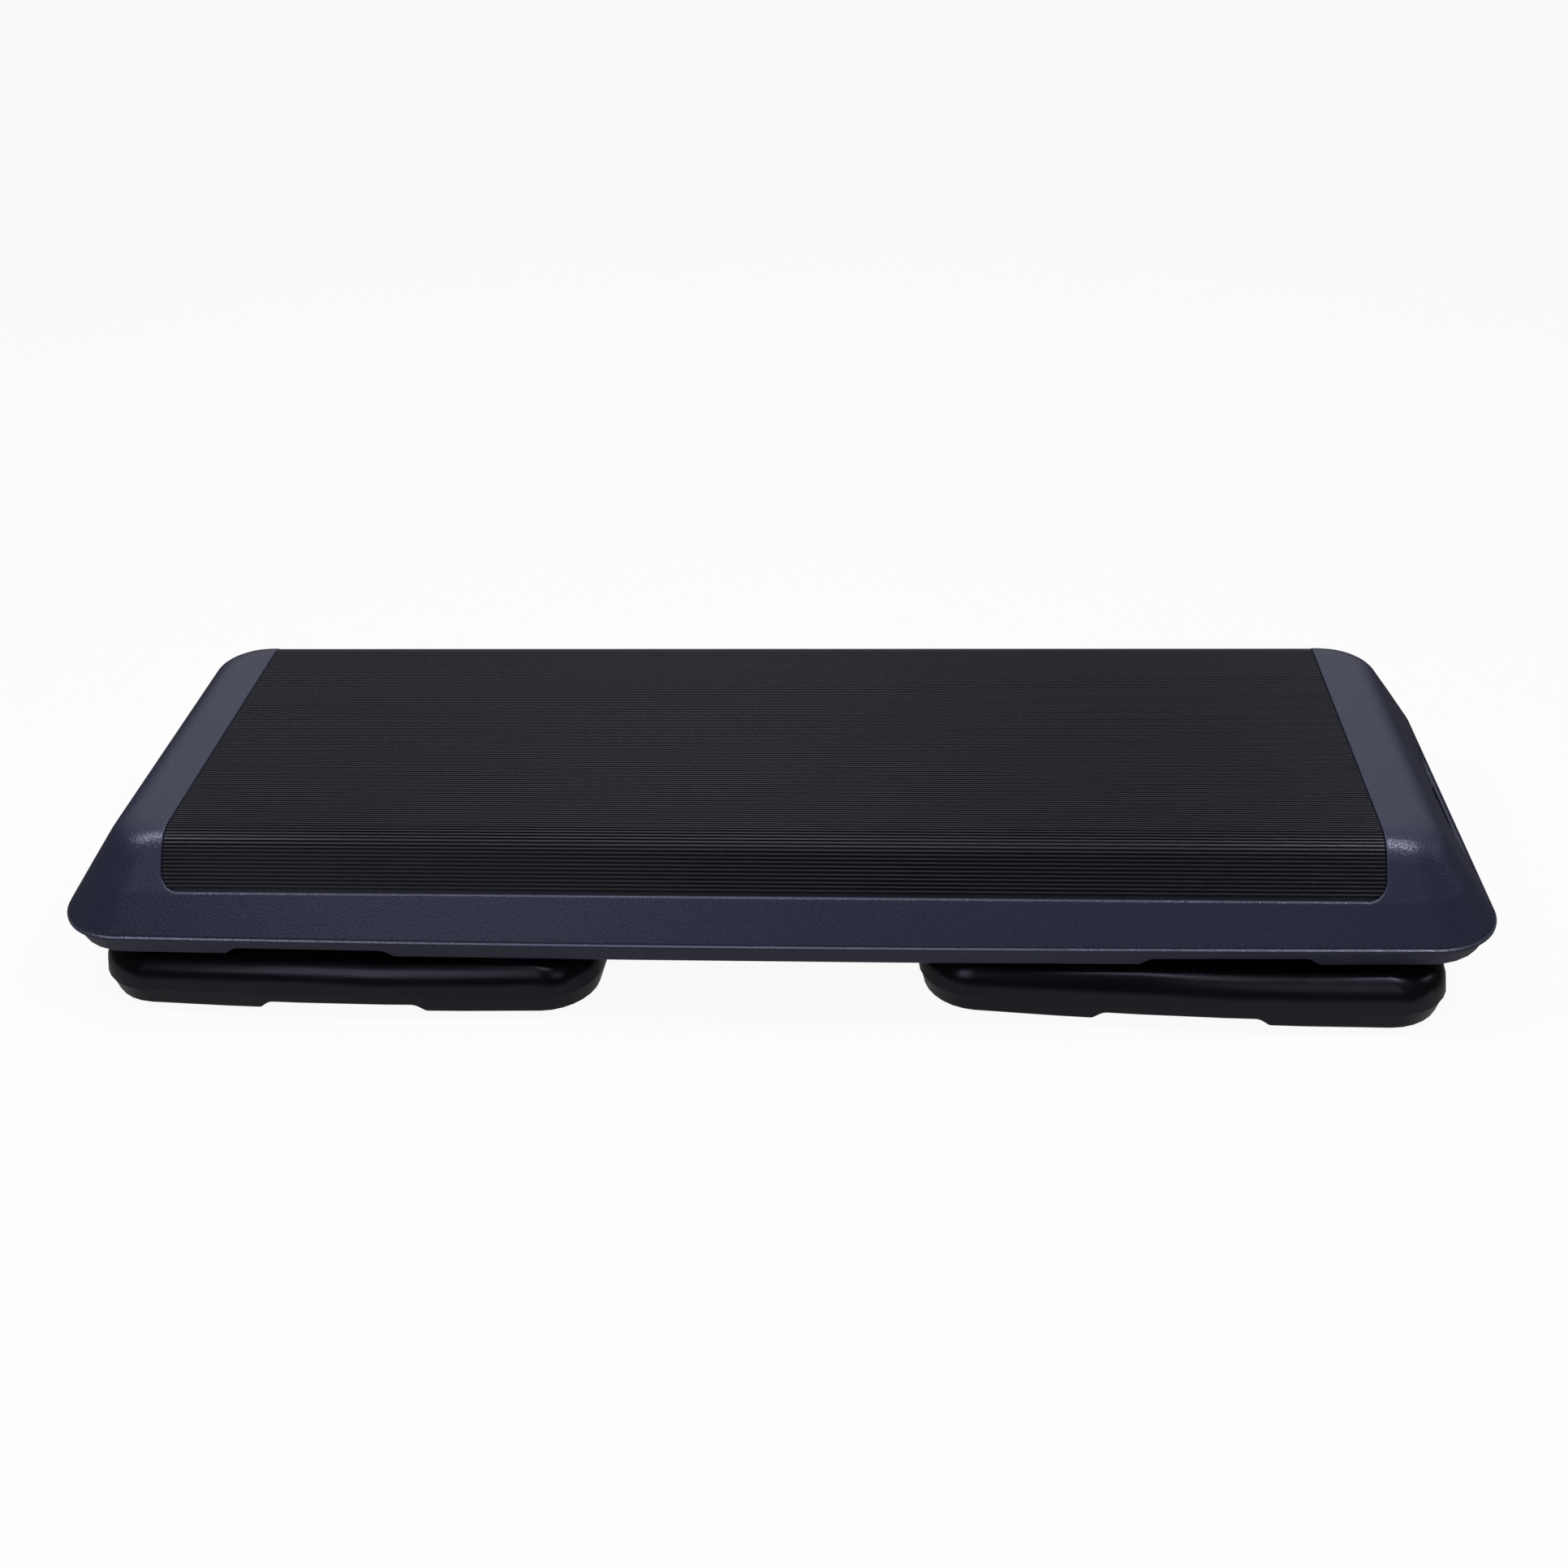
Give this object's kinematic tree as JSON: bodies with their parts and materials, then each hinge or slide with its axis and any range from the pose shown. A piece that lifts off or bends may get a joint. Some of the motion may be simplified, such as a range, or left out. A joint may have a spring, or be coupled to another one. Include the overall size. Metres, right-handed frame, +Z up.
{
  "type": "aerobic step platform",
  "caption": "Long low exercise platform with a ribbed rubber tread, standing on square stacking risers that nest under it and lift off.",
  "frame": {"origin": "on the floor, under the middle of the platform", "axes": "+X along the platform's length, +Y across it away from the pictured side, +Z up"},
  "size_m": [1.092, 0.4112, 0.1444],
  "materials": {
    "shell_plastic": "satin, fine moulded grain",
    "mat_rubber": "matt, ribbed",
    "riser_plastic": "semi-gloss, smooth",
    "foot_rubber": "matt"
  },
  "bodies": {
    "platform": {"platform_upper_shell": "shell_plastic", "platform_lower_shell": "shell_plastic", "tread_mat": "mat_rubber", "platform_foot_1": "foot_rubber", "platform_foot_2": "foot_rubber", "platform_foot_3": "foot_rubber", "platform_foot_4": "foot_rubber", "platform_foot_5": "foot_rubber", "platform_foot_6": "foot_rubber", "platform_foot_7": "foot_rubber", "platform_foot_8": "foot_rubber"},
    "riser_left": {"riser_left_upper_shell": "riser_plastic", "riser_left_lower_shell": "riser_plastic", "riser_left_foot_1": "foot_rubber", "riser_left_foot_2": "foot_rubber", "riser_left_foot_3": "foot_rubber", "riser_left_foot_4": "foot_rubber"},
    "riser_right": {"riser_right_upper_shell": "riser_plastic", "riser_right_lower_shell": "riser_plastic", "riser_right_foot_1": "foot_rubber", "riser_right_foot_2": "foot_rubber", "riser_right_foot_3": "foot_rubber", "riser_right_foot_4": "foot_rubber"}
  },
  "joints": [
    {"name": "riser_left_lift", "type": "slide", "parent": "platform", "child": "riser_left", "axis": [0, 0, -1], "range_m": [0, 0.065]},
    {"name": "riser_right_lift", "type": "slide", "parent": "platform", "child": "riser_right", "axis": [0, 0, -1], "range_m": [0, 0.065]}
  ]
}
